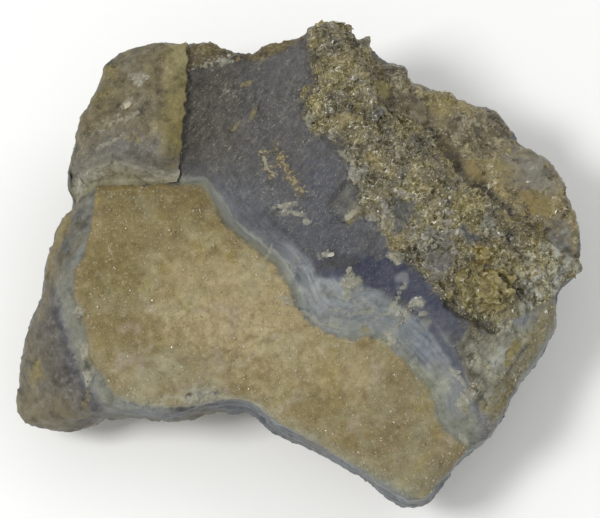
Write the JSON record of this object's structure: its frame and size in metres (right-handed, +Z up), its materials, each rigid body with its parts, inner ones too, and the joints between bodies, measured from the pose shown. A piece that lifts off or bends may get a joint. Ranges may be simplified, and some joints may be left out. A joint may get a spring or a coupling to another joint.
{
  "type": "blue lace agate specimen",
  "caption": "Hand-size rough of banded blue chalcedony with a tan druse face and brown sparkling wall rock, lying on a small flat spot.",
  "frame": {"origin": "on the small flat spot that the stone rests on, under its middle", "axes": "+Z up, away from the surface it rests on; +X along its longest side; +Y towards the edge where the brown wall rock peaks"},
  "size_m": [0.0957, 0.0815, 0.0351],
  "materials": {
    "stone": "rough broken chalcedony with sugary druse"
  },
  "bodies": {
    "root": {"agate_specimen": "stone"}
  },
  "joints": []
}
